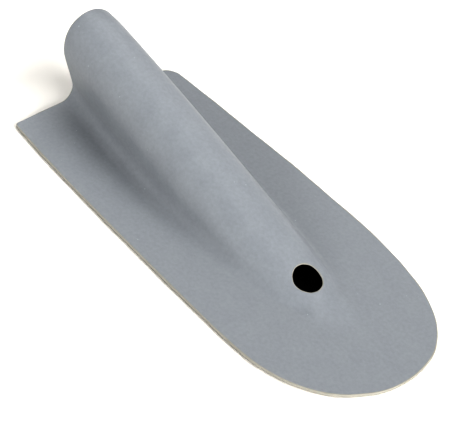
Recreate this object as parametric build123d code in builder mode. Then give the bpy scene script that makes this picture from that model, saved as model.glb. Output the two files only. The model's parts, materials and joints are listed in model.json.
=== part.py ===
"""Exit fairing: one thin moulded shell, a flat flange with a hollow ridge that runs out towards the nose.

Frame: millimetres. +X points to the rounded nose, Y is across, Z = 0 is the flat underside that lies on the
skin, and X = 0 is half way along. Lengths in the functions below are counted from the flange's rear edge.
The shell is lofted as a wide sheet with the ridge already in it, and then trimmed to its outline.
"""
from build123d import *
from math import acos, atan, cos, hypot, radians, sin, tan
import os

os.makedirs("parts", exist_ok=True)

# The moulding as a whole
flange_length = 200.0
wall = 1.5
half_width = 45.0              # at the widest station, where the nose curve starts
rear_draw_in = 3.6             # how much narrower each side is at the rear edge
side_power = 2.9               # how late the sides draw in
nose_start = 126.0
nose_power_x = 3.05            # the nose is a superellipse, a little fuller than an ellipse
nose_power_y = 2.1

# The cut-off rear edge: straight across the ridge's foot, then swept forwards to each corner
rear_straight = 10.0           # half length of the straight part
left_sweep = 0.23              # forward run per millimetre of width, on the +Y side
right_sweep = 0.05
left_corner = 6.3
right_corner = 1.5
rear_overhang = 6.0            # how far the crest's end leans back past the rear edge

# The ridge
rear_height = 41.5             # crest over the underside at the rear edge, before it levels off
level_start = 6.0              # x behind which the crest levels off
level_drop = 1.1               # how far that brings its end down
run_out = 150.0                # x where the crest starts to flatten into the flange
run_out_height = 4.8
crest_bow = 7.8                # four times the crest's rise over a straight line, half way along
rear_crest_radius = 14.3
nose_crest_radius = 20.0
rear_foot_radius = 6.2
nose_foot_radius = 6.5
flank_slope_limit = 115.0      # degrees from the flange: the rear flanks lean in under the crest
slope_softness = 4.0           # how quickly they change to plain arcs further on
arc_share = 0.97               # the slope's share of what two arcs alone would need, the rest is flank
tip_narrowing = 0.5            # how much narrower the ridge is where it lands on the flange

# The hole through the crest
hole_radius = 6.35
hole_x = 142.5

# Working sizes of the blank that the shell is cut from
blank_half_width = 56.0
blank_step = 12                # even steps, so that the loft doesn't overshoot between its sections
blank_stations = range(-18, 214, blank_step)
underside_spare = 0.3          # the blank hangs this far below Z = 0, and is trimmed flat
trim_height = 60.0
cutter_length = 12.0
side_steps = 5                 # steps of the outline's spline down each side
nose_steps = 7                 # and round each half of the nose

rear_rise = rear_height - wall
run_out_rise = run_out_height - wall
run_out_slope = (rear_rise - run_out_rise + crest_bow) / run_out
landing = run_out + 2 * run_out_rise / run_out_slope


def crest_rise(x):
    """Height of the crest over the flange's top: level, a bowed line, and a parabola that lands on it."""
    if x < run_out:
        along = x / run_out
        drop = level_drop * (max(0.0, level_start - x) / (level_start + rear_overhang)) ** 2
        return rear_rise + (run_out_rise - rear_rise) * along + crest_bow * along * (1 - along) - drop
    return run_out_rise * max(0.0, (landing - x) / (landing - run_out)) ** 2


def crest_fall(x):
    """Fall of the crest per millimetre of length, up to the run-out station."""
    return (rear_rise - run_out_rise - crest_bow * (1 - 2 * x / run_out)) / run_out


def main_shape(x):
    """Widths of the crest arc and the foot arc, and the flank's slope, up to the run-out station."""
    along = x / run_out
    crest_radius = rear_crest_radius + (nose_crest_radius - rear_crest_radius) * along
    foot_radius = rear_foot_radius + (nose_foot_radius - rear_foot_radius) * along
    steepest = acos(max(-1.0, 1 - crest_rise(x) / (crest_radius + foot_radius)))
    lean = (steepest / radians(flank_slope_limit)) ** slope_softness
    slope = arc_share * steepest / (1 + lean) ** (1 / slope_softness)
    return crest_radius * sin(slope), foot_radius * sin(slope), slope


def tip_shape(x):
    """The same beyond the run-out station, where the ridge narrows and its slope falls to nothing."""
    crest_width, foot_width, _ = main_shape(run_out)
    along = min(1.0, (x - run_out) / (landing - run_out))
    narrowing = 1 - tip_narrowing * along**2
    spread = (crest_width + foot_width) * narrowing
    slope = arc_share * 2 * atan(crest_rise(x) / spread)
    return crest_width * narrowing, foot_width * narrowing, slope


def arc_to(start, width, slope_in, slope_out):
    """Control points of an arc that runs outwards by width while its downward slope changes."""
    turn = abs(slope_out - slope_in)
    handle = 4 / 3 * tan(turn / 4) * width / sin(turn) if turn else width / 3
    end = start + Vector(width, -width * tan(turn / 2))
    leave = Vector(cos(slope_in), -sin(slope_in))
    arrive = Vector(cos(slope_out), -sin(slope_out))
    return [start, start + leave * handle, end - arrive * handle, end]


def half_ridge(x, inset, drop):
    """Crest arc, flank and foot arc of the +Y half, inset from the outer surface and then dropped."""
    crest_width, foot_width, slope = main_shape(x) if x < run_out else tip_shape(x)
    rise = crest_rise(x)
    arc_fall = (crest_width + foot_width) * tan(slope / 2)
    level_flank = (1 / arc_share - 1) / 2 * (crest_width + foot_width)
    flank = (rise - arc_fall) / sin(slope) if slope else level_flank
    crest = arc_to(Vector(0, wall + rise - inset - drop), crest_width - inset * sin(slope), 0, slope)
    flank_end = crest[-1] + Vector(cos(slope), -sin(slope)) * flank
    foot = arc_to(flank_end, foot_width + inset * sin(slope), slope, 0)
    sheet_edge = Vector(blank_half_width, foot[-1].Y)
    return [crest, [crest[-1], flank_end], foot, [foot[-1], sheet_edge]]


def whole_line(half):
    """A half line and its mirror image as one run of pieces from the -Y edge to the +Y edge."""
    mirror_half = [[Vector(-point.X, point.Y) for point in reversed(piece)] for piece in reversed(half)]
    return mirror_half + half


def side_width(x):
    """Half width of the flange behind the nose."""
    return half_width - rear_draw_in * ((nose_start - x) / nose_start) ** side_power


def nose_width(x):
    """Half width of the flange round the nose."""
    along = (x - nose_start) / (flange_length - nose_start)
    return half_width * (1 - along**nose_power_x) ** (1 / nose_power_y)


def side_points():
    """Points of the flange's +Y side, from the rear edge to just before the tip of the nose."""
    straight = [nose_start * i / side_steps for i in range(side_steps)]
    turns = [radians(90 * i / nose_steps) for i in range(nose_steps)]
    nose = [nose_start + (flange_length - nose_start) * sin(turn) for turn in turns]
    return [(x, side_width(x)) for x in straight] + [(x, nose_width(x)) for x in nose]


def from_rear_edge(x):
    """Distance along the flange turned into the part's own X."""
    return x - (flange_length - rear_overhang) / 2


with BuildPart() as blank:
    for station in blank_stations:
        outer = whole_line(half_ridge(station, 0, 0))
        inner = whole_line(half_ridge(station, wall, underside_spare))
        with BuildSketch(Plane.YZ.offset(from_rear_edge(station))):
            with BuildLine():
                for piece in outer + inner:
                    Bezier(*piece)
                Line(outer[0][0], inner[0][0])
                Line(outer[-1][-1], inner[-1][-1])
            make_face()
    loft()

rear_lean = rear_overhang / (wall + crest_rise(-rear_overhang))
flange_plane = Plane(origin=(from_rear_edge(0), 0, 0))
hole_plane = Plane(
    origin=(from_rear_edge(hole_x), 0, wall + crest_rise(hole_x)),
    z_dir=(crest_fall(hole_x), 0, 1),
)

with BuildPart() as fairing_shell:
    add(blank.part)
    with BuildSketch(flange_plane) as outline:
        with BuildLine():
            side = side_points()
            Spline(*side, (flange_length, 0), *[(x, -y) for x, y in reversed(side)])
            Line(side[0], (0, -side[0][1]))
        make_face()
        for across, sweep in ((1, left_sweep), (-1, right_sweep)):
            corner_x = sweep * (half_width - rear_straight)
            corner_y = across * half_width
            with BuildLine():
                Polyline((0, across * rear_straight), (corner_x, corner_y), (-corner_x, corner_y), close=True)
            make_face(mode=Mode.SUBTRACT)
        fillet(outline.vertices().sort_by(Axis.Y)[-1], left_corner)
        fillet(outline.vertices().sort_by(Axis.Y)[0], right_corner)
    extrude(amount=trim_height * hypot(1, rear_lean), dir=(-rear_lean, 0, 1), mode=Mode.INTERSECT)
    with BuildSketch(hole_plane):
        Circle(hole_radius)
    extrude(amount=cutter_length / 2, both=True, mode=Mode.SUBTRACT)

fairing_shell.part.label = "fairing_shell"
export_step(fairing_shell.part, "parts/fairing_shell.step")
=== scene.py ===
"""An exit fairing: one thin moulded shell of glass-fibre laminate with a grey gelcoat, lying on a pale table.

Lengths are in millimetres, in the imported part's frame, and are turned to metres where a mesh is made.
"""
import json

import bpy
import numpy as np
from mathutils import Matrix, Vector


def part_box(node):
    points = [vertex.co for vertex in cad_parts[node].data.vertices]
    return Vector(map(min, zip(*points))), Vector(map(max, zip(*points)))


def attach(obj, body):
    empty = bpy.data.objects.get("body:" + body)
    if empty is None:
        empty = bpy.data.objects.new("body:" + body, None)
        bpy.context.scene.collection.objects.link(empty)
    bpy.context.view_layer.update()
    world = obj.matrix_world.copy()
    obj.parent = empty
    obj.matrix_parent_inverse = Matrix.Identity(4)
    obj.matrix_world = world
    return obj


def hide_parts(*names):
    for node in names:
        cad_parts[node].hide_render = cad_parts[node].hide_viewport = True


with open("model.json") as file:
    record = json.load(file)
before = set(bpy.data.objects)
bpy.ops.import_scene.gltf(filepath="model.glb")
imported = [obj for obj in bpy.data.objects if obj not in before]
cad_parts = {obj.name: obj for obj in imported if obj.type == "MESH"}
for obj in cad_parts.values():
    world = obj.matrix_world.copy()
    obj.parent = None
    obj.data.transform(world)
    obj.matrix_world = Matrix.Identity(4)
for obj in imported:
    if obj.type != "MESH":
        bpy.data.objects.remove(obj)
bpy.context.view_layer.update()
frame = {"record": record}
MM = 0.001

# The viewpoint -----------------------------------------------------------------------------------
# A long lens looks down on the fairing from beside its rear end, with the camera rolled a little, so
# that the ridge runs away from the lens and down to the right.
VIEW_AZIMUTH = np.radians(-48.74)    # of the camera round the part, from +X
VIEW_ELEVATION = np.radians(43.51)
VIEW_ROLL = np.radians(11.42)
VIEW_DISTANCE = 619.7
LENS_MM = 118.9
SENSOR_MM = 36.0
AIM = np.array([-1.18, -1.70, 1.35])   # the point of the part that the lens is centred on


def axes_from_view(azimuth, elevation, roll):
    """Right, up and backward axes of a camera on a sphere: backward points from the part to the camera."""
    backward = np.array([
        np.cos(azimuth) * np.cos(elevation),
        np.sin(azimuth) * np.cos(elevation),
        np.sin(elevation),
    ])
    level = np.array([-np.sin(azimuth), np.cos(azimuth), 0.0])
    upright = np.cross(backward, level)
    right = np.cos(roll) * level + np.sin(roll) * upright
    up = np.cos(roll) * upright - np.sin(roll) * level
    return right, up, backward


def matrix_from_axes(right, up, backward, place):
    """A 4 by 4 matrix, in metres, for a camera or a lamp that looks along minus backward."""
    matrix = np.eye(4)
    matrix[:3, 0] = right
    matrix[:3, 1] = up
    matrix[:3, 2] = backward
    matrix[:3, 3] = np.asarray(place) * MM
    return Matrix(matrix.tolist())


view_axes = axes_from_view(VIEW_AZIMUTH, VIEW_ELEVATION, VIEW_ROLL)
camera = bpy.data.objects.new("camera", bpy.data.cameras.new("camera"))
camera.data.sensor_width = SENSOR_MM
camera.data.lens = LENS_MM
camera.data.clip_start = 0.01
camera.matrix_world = matrix_from_axes(*view_axes, AIM + view_axes[2] * VIEW_DISTANCE)
bpy.context.scene.collection.objects.link(camera)
bpy.context.scene.camera = camera

# The moulded shell -------------------------------------------------------------------------------
# Glass cloth and resin laid up in a female mould over a sprayed gelcoat, so the outside is smooth and
# the inside shows the cloth. It is trimmed by hand: the rear end is sawn, the hole is drilled, and a
# sanding block has taken the sharpness off every cut edge.
low, high = [np.array(corner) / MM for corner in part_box("fairing_shell")]
hole = next(m for m in frame["record"]["mounts"] if m["name"] == "crest_hole")

WALL = 1.5
ARRIS = 0.25                         # radius that the sanding block left on the cut edges
EDGE_INSET = 0.4                     # from the mean edge in to the last line of the flat grid
REAR_OVERHANG = 6.0                  # how far the crest's end leans back past the flange's rear edge
REAR_X = low[0] + REAR_OVERHANG      # the flange's rear edge
LENGTH = high[0] - REAR_X
HALF_WIDTH = high[1]
REAR_DRAW_IN = 3.6
SIDE_POWER = 2.9
NOSE_START = 126.0
NOSE_POWERS = (3.05, 2.1)
REAR_STRAIGHT = 10.0                 # half length of the straight part of the rear edge
SWEEPS = (0.05, 0.23)                # forward run per millimetre of width, on -Y and on +Y
CORNERS = (1.5, 6.3)                 # corner radii, on -Y and on +Y

REAR_RISE = 40.0                     # crest over the flange's top at the rear edge, before it levels off
LEVEL_START, LEVEL_DROP = 6.0, 1.1   # where the crest starts to level off, and how far its end comes down
RUN_OUT = 150.0                      # where the crest starts to flatten into the flange
RUN_OUT_RISE = 3.3
CREST_BOW = 7.8
CREST_RADII = (14.3, 20.0)           # at the rear edge and at the run-out
FOOT_RADII = (6.2, 6.5)
SLOPE_LIMIT = np.radians(115.0)
SLOPE_SOFTNESS = 4.0
ARC_SHARE = 0.97
TIP_NARROWING = 0.5
FLATTEST = 1e-4                      # radians, stands for no slope at all

RUN_OUT_FALL = (REAR_RISE - RUN_OUT_RISE + CREST_BOW) / RUN_OUT
LANDING = RUN_OUT + 2 * RUN_OUT_RISE / RUN_OUT_FALL


def crest_rise(x):
    """Crest over the flange: a straight fall plus a parabolic bow, then a parabola that lands.

    Near the rear end the square of the distance from where it starts to level off is taken away.
    """
    along = x / RUN_OUT
    bowed = REAR_RISE + (RUN_OUT_RISE - REAR_RISE) * along + CREST_BOW * along * (1 - along)
    levelling = np.clip(LEVEL_START - x, 0, None) / (LEVEL_START + REAR_OVERHANG)
    bowed = bowed - LEVEL_DROP * levelling**2
    landing = RUN_OUT_RISE * np.clip((LANDING - x) / (LANDING - RUN_OUT), 0, None) ** 2
    return np.where(x < RUN_OUT, bowed, landing)


def ridge_arcs(x):
    """Crest radius, foot radius, steepest slope and straight flank of the ridge's section at x.

    The slope is what two arcs alone would need for the rise, softly limited where the flanks lean in.
    Past the run-out both arcs keep their widths, times a narrowing, and the slope falls with the rise.
    """
    along = np.minimum(x, RUN_OUT) / RUN_OUT
    crest = CREST_RADII[0] + (CREST_RADII[1] - CREST_RADII[0]) * along
    foot = FOOT_RADII[0] + (FOOT_RADII[1] - FOOT_RADII[0]) * along
    rise = crest_rise(x)
    steepest = np.arccos(np.clip(1 - crest_rise(np.minimum(x, RUN_OUT)) / (crest + foot), -1, 1))
    slope = ARC_SHARE * steepest / (1 + (steepest / SLOPE_LIMIT) ** SLOPE_SOFTNESS) ** (1 / SLOPE_SOFTNESS)
    crest_width, foot_width = crest * np.sin(slope), foot * np.sin(slope)
    past = np.clip((x - RUN_OUT) / (LANDING - RUN_OUT), 0, 1)
    narrowing = 1 - TIP_NARROWING * past**2
    spread = (crest_width + foot_width) * narrowing
    tip_slope = np.maximum(ARC_SHARE * 2 * np.arctan(rise / spread), FLATTEST)
    slope = np.where(x < RUN_OUT, slope, tip_slope)
    crest = np.where(x < RUN_OUT, crest, crest_width * narrowing / np.sin(slope))
    foot = np.where(x < RUN_OUT, foot, foot_width * narrowing / np.sin(slope))
    flank = np.maximum((rise - (crest + foot) * (1 - np.cos(slope))) / np.sin(slope), 0)
    return crest, foot, slope, flank


def outer_point(x, reach):
    """A point on the outside: x from the rear edge, and the distance walked out from the crest line.

    The walk turns down the crest arc, goes straight down the flank, turns back up the foot arc, and
    goes on level along the flange. Negative distances are on the -Y side.
    """
    crest, foot, slope, flank = ridge_arcs(x)
    walked = np.abs(reach)
    turn_down = np.clip(walked / crest, 0, slope)
    walked = walked - crest * slope
    straight = np.clip(walked, 0, flank)
    walked = walked - flank
    turn_up = np.clip(walked / foot, 0, slope)
    level = np.clip(walked - foot * slope, 0, None)
    y = crest * np.sin(turn_down) + straight * np.cos(slope) + level
    y = y + foot * (np.sin(slope) - np.sin(slope - turn_up))
    fall = 2 * crest * np.sin(turn_down / 2) ** 2 + straight * np.sin(slope)
    fall = fall + foot * (np.cos(slope - turn_up) - np.cos(slope))
    return np.stack([x + REAR_X, np.sign(reach) * y, WALL + crest_rise(x) - fall], axis=-1)


def unit(vectors):
    """The same vectors, each one long."""
    return vectors / np.linalg.norm(vectors, axis=-1, keepdims=True)


def shell_point(x, reach, depth, step=0.05):
    """A point below the outside by depth, along its normal, which is the cross product of small steps."""
    along = outer_point(x + step, reach) - outer_point(x - step, reach)
    across = outer_point(x, reach + step) - outer_point(x, reach - step)
    return outer_point(x, reach) - depth * unit(np.cross(along, across))


# The grid runs from the rear end to the nose, and out from the crest line to both sides
ROWS_REAR, ROWS_BODY, ROWS_NOSE = 10, 110, 56
REAR_BAND = 6.0
RIDGE_CELLS, FLANGE_CELLS = 44, 24
EDGE_CLOSENESS = 1.2                 # power that draws the flange's columns together at its edge
NOSE_END = LENGTH - EDGE_INSET
RIDGE_SHARE = RIDGE_CELLS / (RIDGE_CELLS + FLANGE_CELLS)


def side_width(x):
    """Half width of the flange: drawn in by a power law behind the nose, a superellipse round it."""
    behind = HALF_WIDTH - REAR_DRAW_IN * np.clip((NOSE_START - x) / NOSE_START, 0, None) ** SIDE_POWER
    ahead = np.clip((x - NOSE_START) / (NOSE_END - NOSE_START), 0, 1)
    round_nose = (HALF_WIDTH - EDGE_INSET) * (1 - ahead ** NOSE_POWERS[0]) ** (1 / NOSE_POWERS[1])
    return np.where(x < NOSE_START, behind - EDGE_INSET, round_nose)


def row_places():
    """x of each row if the rear end were straight: a fine rear band, the body, equal turns of the nose."""
    rear = REAR_BAND * np.linspace(0, 1, ROWS_REAR, endpoint=False) ** 1.5
    body = np.linspace(REAR_BAND, NOSE_START, ROWS_BODY, endpoint=False)
    turns = np.linspace(0, np.pi / 2, ROWS_NOSE, endpoint=False)
    return np.concatenate([rear, body, NOSE_START + (NOSE_END - NOSE_START) * np.sin(turns)])


def ridge_reach(x):
    """Distance walked from the crest line to the outer end of the foot arc; it shrinks with the nose."""
    crest, foot, slope, flank = ridge_arcs(np.minimum(x, LANDING))
    shrink = np.where(x > LANDING, side_width(x) / side_width(np.array(LANDING)), 1)
    return ((crest + foot) * slope + flank) * shrink


def grid_reach(x, across):
    """Distance walked out at x for a column: a share of the ridge, and then a share of the flange."""
    on_ridge = np.minimum(np.abs(across) / RIDGE_SHARE, 1)
    on_flange = np.clip((np.abs(across) - RIDGE_SHARE) / (1 - RIDGE_SHARE), 0, 1)
    on_flange = 1 - (1 - on_flange) ** EDGE_CLOSENESS
    inner_end = ridge_reach(x)
    foot_y = np.abs(outer_point(x, inner_end)[..., 1])
    return np.sign(across) * (on_ridge * inner_end + on_flange * (side_width(x) - foot_y))


def rear_start(across, depth):
    """x of the rear end for each column: the swept line on the flange, leaning back with height."""
    lean = REAR_OVERHANG / high[2]
    sweep = np.where(across > 0, SWEEPS[1], SWEEPS[0])
    x = np.zeros_like(across)
    for _ in range(8):
        point = shell_point(x, grid_reach(x, across), depth)
        swept = sweep * np.clip(np.abs(point[:, 1]) - REAR_STRAIGHT, 0, None)
        x = x + swept + EDGE_INSET - lean * point[:, 2] - (point[:, 0] - REAR_X)
    return x


def round_corner(points, start):
    """Bends the square corners of the flange round: a square patch goes to a quarter disc, where one
    side's distance is shortened by the root of one minus half the other's square.

    The patch is as long as the corner's tangents, and leans with the swept rear edge.
    """
    for side, radius, sweep in zip((-1, 1), CORNERS, SWEEPS):
        slope = sweep + REAR_DRAW_IN * SIDE_POWER / NOSE_START
        size = radius * (np.sqrt(1 + slope**2) - slope)
        inside = side_width(np.clip(points[..., 0] - REAR_X, 0, None)) - side * points[..., 1]
        ahead = points[..., 0] - start[0 if side < 0 else -1] - REAR_X + sweep * inside
        near = (ahead < size) & (inside < size) & (side * points[..., 1] > 0)
        p, q = 1 - ahead / size, 1 - inside / size
        shift_in = np.where(near, size * (q - q * np.sqrt(np.clip(1 - p * p / 2, 0, 1))), 0)
        shift_ahead = np.where(near, size * (p - p * np.sqrt(np.clip(1 - q * q / 2, 0, 1))), 0)
        points[..., 0] += shift_ahead - sweep * shift_in
        points[..., 1] -= side * shift_in
    return points


def sheet_grid(depth):
    """The parameters and points of one face of the shell, rows from the rear end to the nose."""
    cells = RIDGE_CELLS + FLANGE_CELLS
    across = np.arange(-cells, cells + 1) / cells
    start = rear_start(across, depth)
    x = start + (NOSE_END - start) * row_places()[:, None] / NOSE_END
    reach = grid_reach(x, np.broadcast_to(across, x.shape))
    return x, reach, round_corner(shell_point(x, reach, depth), start)


# The drilled hole: a window of the grid is left out and filled with rings that end at the drill's
# cylinder.
HOLE_RADIUS = hole["dims"]["r_mm"]
HOLE_CENTRE = np.array(hole["pos_m"]) / MM
HOLE_RINGS = 10
HOLE_WINDOW = 11.0                   # half the side of the window
hole_across = np.array([0.0, 1.0, 0.0])
hole_along = np.cross(hole_across, hole["axis"])


def hole_ring(turn, depth):
    """Parameters where the drill's cylinder cuts one face of the shell, at these turns about its axis."""
    radius = HOLE_RADIUS + EDGE_INSET
    x = HOLE_CENTRE[0] - REAR_X + radius * np.cos(turn)
    reach = radius * np.sin(turn)
    for _ in range(12):
        arm = shell_point(x, reach, depth) - HOLE_CENTRE
        x = x + radius * np.cos(turn) - arm @ hole_along
        reach = reach + radius * np.sin(turn) - arm @ hole_across
    return x, reach


def window_loop(top, bottom, left, right):
    """Rows and columns once round the window's border, side by side."""
    down, along = np.arange(top, bottom), np.arange(left, right)
    row = [down, np.full(along.size, bottom), down[::-1] + 1, np.full(along.size, top)]
    column = [np.full(down.size, left), along, np.full(down.size, right), along[::-1] + 1]
    return np.concatenate(row), np.concatenate(column)


outer_x, outer_reach, outer_grid = sheet_grid(0.0)
inner_x, inner_reach, inner_grid = sheet_grid(WALL)
middle = outer_x.shape[1] // 2
window_rows = np.flatnonzero(np.abs(outer_grid[:, middle, 0] - HOLE_CENTRE[0]) < HOLE_WINDOW)[[0, -1]]
window_columns = np.flatnonzero(np.abs(outer_reach[window_rows.mean().astype(int)]) < HOLE_WINDOW)[[0, -1]]
loop_row, loop_column = window_loop(*window_rows, *window_columns)
hole_arm = outer_grid[loop_row, loop_column] - HOLE_CENTRE
hole_turn = np.arctan2(hole_arm @ hole_across, hole_arm @ hole_along)


def strip(first, second):
    """Faces between two closed loops of vertex numbers, which face the side that first is seen from."""
    return np.stack([first, np.roll(first, -1), np.roll(second, -1), second], axis=-1)


def sheet_with_hole(x, reach, grid, depth):
    """Points, flat coordinates and upward faces of one face of the shell, and its two border loops."""
    numbers = np.arange(x.size).reshape(x.shape)
    quads = np.stack([numbers[:-1, :-1], numbers[1:, :-1], numbers[1:, 1:], numbers[:-1, 1:]], axis=-1)
    kept = np.ones(quads.shape[:2], bool)
    kept[slice(*window_rows), slice(*window_columns)] = False
    border_x, border_reach = x[loop_row, loop_column], reach[loop_row, loop_column]
    end_x, end_reach = hole_ring(hole_turn, depth)
    share = np.linspace(0, 1, HOLE_RINGS + 1)[1:, None]
    share = share * (2 - share)
    ring_x = border_x + (end_x - border_x) * share
    ring_reach = border_reach + (end_reach - border_reach) * share
    ring_numbers = x.size + np.arange(ring_x.size).reshape(ring_x.shape)
    loops = [numbers[loop_row, loop_column], *ring_numbers]
    faces = np.concatenate([quads[kept], *[strip(a, b) for a, b in zip(loops, loops[1:])]])
    points = np.concatenate([grid.reshape(-1, 3), shell_point(ring_x, ring_reach, depth).reshape(-1, 3)])
    flat = np.stack([np.append(x, ring_x), np.append(reach, ring_reach)], axis=-1)
    outline = np.concatenate([numbers[0], numbers[1:, -1], numbers[-1, -2::-1], numbers[-2:0:-1, 0]])
    return points, flat, faces, outline, ring_numbers[-1]


# The cut edges: both faces' border loops are joined by a rounded arris, a flat cut, and an arris
ARRIS_TURNS = np.radians([0, 30, 60, 90])[:, None, None]
OUTLINE_WAVES = ((0.08, 1 / 41), (0.05, 1 / 17), (0.02, 1 / 6.1))   # height in mm, waves per mm
HOLE_WAVES = ((0.07, 3 / 42), (0.05, 5 / 42), (0.03, 11 / 42))


def cut_edge(points, outer_loop, inner_loop, waves):
    """Points and faces of a cut edge, and its flat coordinates: along the edge and through the wall.

    Outward is the normal crossed with the edge's direction. The edge wanders by a few slow waves, as
    it does under a saw held by hand, and each arris is a quarter circle in three steps.
    """
    top, bottom = points[outer_loop], points[inner_loop]
    normal = unit(top - bottom)
    outward = unit(np.cross(normal, np.roll(top, -1, axis=0) - np.roll(top, 1, axis=0)))
    gaps = np.linalg.norm(np.roll(top, -1, axis=0) - top, axis=-1)
    along = np.cumsum(gaps) - gaps
    wander = np.full_like(along, EDGE_INSET - ARRIS)
    for height, pace in waves:
        turns = max(round(gaps.sum() * pace), 1)
        wander = wander + height * np.sin(2 * np.pi * turns * along / gaps.sum() + 1.7 * turns)
    rise, run = np.cos(ARRIS_TURNS) - 1, np.sin(ARRIS_TURNS)
    out = ARRIS * run * outward + wander[:, None] * outward
    rings = np.concatenate([top + out + ARRIS * rise * normal, (bottom + out - ARRIS * rise * normal)[::-1]])
    numbers = len(points) + np.arange(rings.shape[0] * rings.shape[1]).reshape(rings.shape[:2])
    loops = [outer_loop, *numbers, inner_loop]
    faces = np.concatenate([strip(a, b) for a, b in zip(loops, loops[1:])])
    depth = -ARRIS * rise[:, 0]
    depth = np.concatenate([depth, WALL - depth[::-1]])
    flat = np.stack(np.broadcast_arrays(along, depth), axis=-1)
    return rings.reshape(-1, 3), flat.reshape(-1, 2), faces


outer = sheet_with_hole(outer_x, outer_reach, outer_grid, 0.0)
inner = sheet_with_hole(inner_x, inner_reach, inner_grid, WALL)
points = np.concatenate([outer[0], inner[0]])
flat = np.concatenate([outer[1], inner[1]])
faces = [outer[2], inner[2][:, ::-1] + len(outer[0])]
for k, waves in ((3, OUTLINE_WAVES), (4, HOLE_WAVES)):
    edge = cut_edge(points, outer[k], inner[k] + len(outer[0]), waves)
    points, flat = np.concatenate([points, edge[0]]), np.concatenate([flat, edge[1]])
    faces.append(edge[2])
hole_edge = faces.pop()
hole_arris = len(outer[4]) * len(ARRIS_TURNS)
faces += [hole_edge[:hole_arris], hole_edge[hole_arris:]]
finish_of_face = np.repeat([0, 1, 2, 2, 3], [len(f) for f in faces])    # as the materials are appended
faces = np.concatenate(faces)
used, faces = np.unique(faces, return_inverse=True)
faces = faces.reshape(-1, 4)
points, flat = points[used], flat[used]

# The trim line by hand: places from the rear edge, and how far outside the mean outline it runs there
TRIM_LEFT = ((50, -0.5), (90, 0.5), (130, 0.5), (160, -0.8), (175, -0.6), (196, 0.6), (200, 0.2))
TRIM_RIGHT = (
    (20, 0.25), (60, 0.0), (145, 0.2), (160, 0.75), (170, 0.6), (190, -0.1), (196, -0.45), (200, 0.2)
)
TRIM_BLEND = 20.0                    # half width over which one side's line goes over to the other's
LEAST_NORMAL = 0.1                   # stops the division by a length of zero on the crest line


def hand_trimmed(points):
    """Points moved level, along the outline's normal, by the trim of their side times the cube of how
    near the outline they are; nearness is the superellipse's own sum, one on the outline."""
    x = points[:, 0] - REAR_X
    ahead = np.clip((x - NOSE_START) / (LENGTH - NOSE_START), 0, 1)
    beside = np.clip(np.abs(points[:, 1]) / HALF_WIDTH, 0, 1)
    near = np.clip(ahead ** NOSE_POWERS[0] + beside ** NOSE_POWERS[1], 0, 1) ** 3
    to_left = np.clip(0.5 + points[:, 1] / (2 * TRIM_BLEND), 0, 1)
    left, right = [np.interp(x, *zip(*trim)) for trim in (TRIM_LEFT, TRIM_RIGHT)]
    out = (near * (right + (left - right) * to_left))[:, None]
    forward = ahead * HALF_WIDTH / (LENGTH - NOSE_START)
    normal = np.stack([forward, np.sign(points[:, 1]) * beside, np.zeros_like(x)], axis=-1)
    return points + out * normal / np.maximum(np.linalg.norm(normal, axis=-1, keepdims=True), LEAST_NORMAL)


points = hand_trimmed(points)


def piece_from(name, points, faces, smooth=True):
    """A new mesh object from points in millimetres and quads."""
    mesh = bpy.data.meshes.new(name)
    mesh.from_pydata((points * MM).tolist(), [], faces.tolist())
    mesh.polygons.foreach_set("use_smooth", np.full(len(faces), smooth))
    mesh.update()
    piece = bpy.data.objects.new(name, mesh)
    bpy.context.scene.collection.objects.link(piece)
    return piece


shell = piece_from("moulded_shell", points, faces)
shell.data.polygons.foreach_set("material_index", finish_of_face.astype(np.int32))
shell_map = shell.data.uv_layers.new(name="unrolled")
shell_map.uv.foreach_set("vector", (flat[faces.ravel()] * MM).astype(np.float32).ravel())


def linear(hex_colour):
    """An sRGB hex colour as linear red, green, blue and alpha."""
    value = np.array([int(hex_colour[i:i + 2], 16) for i in (1, 3, 5)]) / 255
    value = np.where(value <= 0.04045, value / 12.92, ((value + 0.055) / 1.055) ** 2.4)
    return (*value.tolist(), 1.0)


def new_material(name):
    """A material with its own empty node tree but for the shader, and that shader."""
    material = bpy.data.materials.new(name)
    material.use_nodes = True
    return material, material.node_tree.nodes["Principled BSDF"]


def add(tree, kind, inputs, **settings):
    """A new node of that kind. Settings are its own properties. Inputs maps a socket's name or number to
    a value, or to another node's output, which is linked."""
    node = tree.nodes.new("ShaderNode" + kind)
    for key, value in settings.items():
        setattr(node, key, value)
    for key, value in inputs.items():
        if isinstance(value, bpy.types.NodeSocket):
            tree.links.new(value, node.inputs[key])
        else:
            node.inputs[key].default_value = value
    return node


MIX_FACTOR, MIX_A, MIX_B, MIX_OUT = 0, 6, 7, 2    # the colour sockets of a Mix node


def blended(tree, factor, first, second, blend_type="MIX"):
    """The colour output of a new Mix node between two colours."""
    inputs = {MIX_FACTOR: factor, MIX_A: first, MIX_B: second}
    return add(tree, "Mix", inputs, data_type="RGBA", blend_type=blend_type).outputs[MIX_OUT]


def remapped(tree, value, from_range, to_range):
    """The output of a new Map Range node, which also clamps to the range."""
    ends = zip(("From Min", "From Max", "To Min", "To Max"), (*from_range, *to_range))
    return add(tree, "MapRange", {"Value": value, **dict(ends)}).outputs["Result"]


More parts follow.
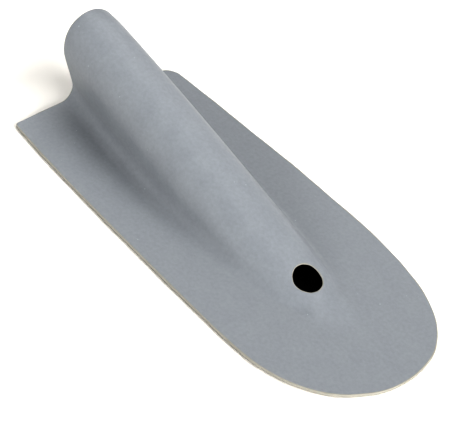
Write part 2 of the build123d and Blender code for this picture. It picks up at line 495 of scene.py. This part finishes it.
# Grey gelcoat, moulded: satin, with a faint cloudiness from the spray gun, fine dust and pores that
# read as light specks, and a skin that is not quite flat where the resin shrank round the cloth.
CLOUD, GRAIN, SPECK, SKIN = 0.009, 0.0016, 0.0030, 0.0028    # metres across one patch of each pattern
NOISE_RANGE = (0.3, 0.7)             # where nearly all of a noise texture's values lie
SPECKED_CELLS = (0.72, 1.0)          # only cells whose random value is in this range hold a speck
SPECK_SIZE, SPECK_EDGE = 0.11, 0.05  # largest radius and soft edge, as shares of a cell
gelcoat, shader = new_material("moulded_grey_gelcoat")
tree = gelcoat.node_tree
place = add(tree, "TexCoord", {}).outputs["Object"]
cloud = add(tree, "TexNoise", {"Vector": place, "Scale": 1 / CLOUD, "Detail": 3.0, "Roughness": 0.55})
grain = add(tree, "TexNoise", {"Vector": place, "Scale": 1 / GRAIN, "Detail": 2.0, "Roughness": 0.6})
skin = add(tree, "TexNoise", {"Vector": place, "Scale": 1 / SKIN, "Detail": 2.0, "Roughness": 0.5})
speck = add(tree, "TexVoronoi", {"Vector": place, "Scale": 1 / SPECK})
chance = add(tree, "SeparateColor", {"Color": speck.outputs["Color"]}).outputs["Red"]
tone = blended(tree, cloud.outputs["Fac"], linear("#84878b"), linear("#8d9093"))
level = remapped(tree, grain.outputs["Fac"], NOISE_RANGE, (0.96, 1.04))
grained = blended(tree, 1.0, tone, level, blend_type="MULTIPLY")
speck_radius = remapped(tree, chance, SPECKED_CELLS, (0.0, SPECK_SIZE))
inside = add(tree, "Math", {0: speck_radius, 1: speck.outputs["Distance"]}, operation="SUBTRACT")
speck_mask = remapped(tree, inside.outputs[0], (0.0, SPECK_EDGE), (0.0, 1.0))
specked = blended(tree, speck_mask, grained, linear("#9fa6a9"))
sheen = remapped(tree, cloud.outputs["Fac"], NOISE_RANGE, (0.44, 0.52))
bump = add(tree, "Bump", {"Height": skin.outputs["Fac"], "Strength": 1.0, "Distance": 0.00003})
tree.links.new(specked, shader.inputs["Base Color"])
tree.links.new(sheen, shader.inputs["Roughness"])
tree.links.new(bump.outputs["Normal"], shader.inputs["Normal"])

# Glass cloth laid up in dark resin: plain weave that shows through a glossy coat of resin. The yarns
# are drawn a millimetre wide.
YARN = 0.001
WAVE_SCALE = 2 * np.pi / 20 / YARN   # a wave texture turns 20 radians for each unit of its scale
laminate, shader = new_material("woven_glass_laminate")
tree = laminate.node_tree
cloth = add(tree, "UVMap", {}, uv_map="unrolled").outputs["UV"]
warp = add(tree, "TexWave", {"Vector": cloth, "Scale": WAVE_SCALE}, bands_direction="X")
weft = add(tree, "TexWave", {"Vector": cloth, "Scale": WAVE_SCALE}, bands_direction="Y")
over = add(tree, "TexChecker", {"Vector": cloth, "Scale": 1 / YARN})
weave = blended(tree, over.outputs["Fac"], warp.outputs["Color"], weft.outputs["Color"])
resin = blended(tree, weave, linear("#1d2021"), linear("#34393a"))
cloth_bump = add(tree, "Bump", {"Height": weave, "Strength": 0.6, "Distance": 0.0001})
tree.links.new(resin, shader.inputs["Base Color"])
tree.links.new(cloth_bump.outputs["Normal"], shader.inputs["Normal"])
shader.inputs["Roughness"].default_value = 0.38

# The cut edge of the laminate: dull from sanding, with the layers of cloth as faint streaks along it. Its
# warm, darkened grey is partly the laminate's own colour and partly painted contact shadow along the edge.
LAYER, STREAK = 0.0003, 0.005        # metres through and along
edge, shader = new_material("sanded_laminate_edge")
tree = edge.node_tree
cloth = add(tree, "UVMap", {}, uv_map="unrolled").outputs["UV"]
streaks = add(tree, "Mapping", {"Vector": cloth, "Scale": (1 / STREAK, 1 / LAYER, 1.0)}).outputs["Vector"]
layers = add(tree, "TexNoise", {"Vector": streaks, "Scale": 1.0, "Detail": 3.0, "Roughness": 0.6})
# partly the edge's own colour, partly painted contact shadow
edge_tone_and_painted_shadow = blended(tree, layers.outputs["Fac"], linear("#85837d"), linear("#a5a39b"))
edge_bump = add(tree, "Bump", {"Height": layers.outputs["Fac"], "Strength": 0.7, "Distance": 0.00008})
tree.links.new(edge_tone_and_painted_shadow, shader.inputs["Base Color"])
tree.links.new(edge_bump.outputs["Normal"], shader.inputs["Normal"])
shader.inputs["Roughness"].default_value = 0.75

# Painted shade on the drilled wall of the hole, below its sanded arris: flat black with no gloss, so the hole
# reads as one dark disc from above.
hole_wall_shade, shader = new_material("painted_shade_hole_wall")
shader.inputs["Base Color"].default_value = linear("#000000")
shader.inputs["Roughness"].default_value = 1.0
shader.inputs["Specular IOR Level"].default_value = 0.0

for finish in (gelcoat, laminate, edge, hole_wall_shade):
    shell.data.materials.append(finish)
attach(shell, "root")
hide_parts("fairing_shell")

# The table ---------------------------------------------------------------------------------------
# A wide pale board, so white under the lamps that it loses its edges. A black sheet of painted shade lies
# on it under the nose end of the tunnel, so the drilled hole reads as dark shade.
TABLE_Z, SHADE_SHEET_Z = -0.10, -0.06
TABLE_REACH = 4000.0
SHADE_SHEET_ENDS, SHADE_SHEET_HALF_WIDTH = (112.0, 166.0), 18.0    # from the rear edge, and to each side


def flat_sheet(name, corners, z, colour):
    """A level rectangle between two corners, with a plain matt material."""
    (x0, y0), (x1, y1) = corners
    points = np.array([(x0, y0, z), (x1, y0, z), (x1, y1, z), (x0, y1, z)])
    sheet = piece_from(name, points, np.array([[0, 1, 2, 3]]))
    material, shader = new_material(name + "_paper")
    shader.inputs["Base Color"].default_value = linear(colour)
    shader.inputs["Roughness"].default_value = 0.9
    shader.inputs["Specular IOR Level"].default_value = 0.1
    sheet.data.materials.append(material)
    return sheet


table_corners = (-TABLE_REACH, -TABLE_REACH), (TABLE_REACH, TABLE_REACH)
shade_sheet_corners = [(REAR_X + end, side * SHADE_SHEET_HALF_WIDTH) for end, side in zip(SHADE_SHEET_ENDS, (-1, 1))]
table = flat_sheet("table", table_corners, TABLE_Z, "#e4e2de")
# painted shade: the black sheet stands in for the dark seen through the drilled hole
shade_sheet = flat_sheet("painted_hole_shade", shade_sheet_corners, SHADE_SHEET_Z, "#0b0b0c")

# The light ---------------------------------------------------------------------------------------
# Large soft lamps stand round the table, the strongest low beyond the nose and low on the right, so
# the near flank of the ridge and the flange beside it fall into shade. A white strip runs round the
# horizon, and the picture's contrast is raised.
HORIZON_TOP, HORIZON_END = 0.10, 0.13    # sines of the elevations between which the strip fades out
HORIZON_LIGHT, DIM_LIGHT = 1.08, 0.02
LAMP_SPREAD = np.radians(30)
LAMP_STRENGTH = 1.78
LAMPS = (                            # name, azimuth from +X, elevation, share of the strength
    ("nose_low", 0, 17, 2.4),
    ("right_low", 288, 17, 1.45),
    ("nose_left", 40, 42, 1.1),
    ("rear_left", 160, 42, 0.5),
    ("left", 120, 42, 0.35),
    ("rear_right_low", 216, 17, 0.3),
    ("rear_low", 162, 17, 0.3),
    ("overhead", 0, 90, 0.2),
    ("left_low", 108, 17, 0.2),
    ("left_high", 120, 66, 0.2),
    ("rear_right", 240, 42, 0.2),
)
CONTRAST = 1.8

world = bpy.data.worlds.new("studio")
bpy.context.scene.world = world
world.use_nodes = True
tree = world.node_tree
height = add(tree, "SeparateXYZ", {"Vector": add(tree, "TexCoord", {}).outputs["Generated"]}).outputs["Z"]
glow = remapped(tree, height, (HORIZON_TOP, HORIZON_END), (HORIZON_LIGHT, DIM_LIGHT))
tree.links.new(glow, tree.nodes["Background"].inputs["Strength"])
tree.nodes["Background"].inputs["Color"].default_value = linear("#ffffff")

for name, azimuth, elevation, share in LAMPS:
    lamp = bpy.data.objects.new(name, bpy.data.lights.new(name, "SUN"))
    lamp.data.angle = LAMP_SPREAD
    lamp.data.energy = share * LAMP_STRENGTH
    lamp_axes = axes_from_view(*np.radians([azimuth, elevation]), 0.0)
    lamp.matrix_world = matrix_from_axes(*lamp_axes, (0.0, 0.0, 0.0))
    bpy.context.scene.collection.objects.link(lamp)

bpy.context.scene.view_settings.view_transform = "Standard"
bpy.context.scene.view_settings.gamma = 1 / CONTRAST
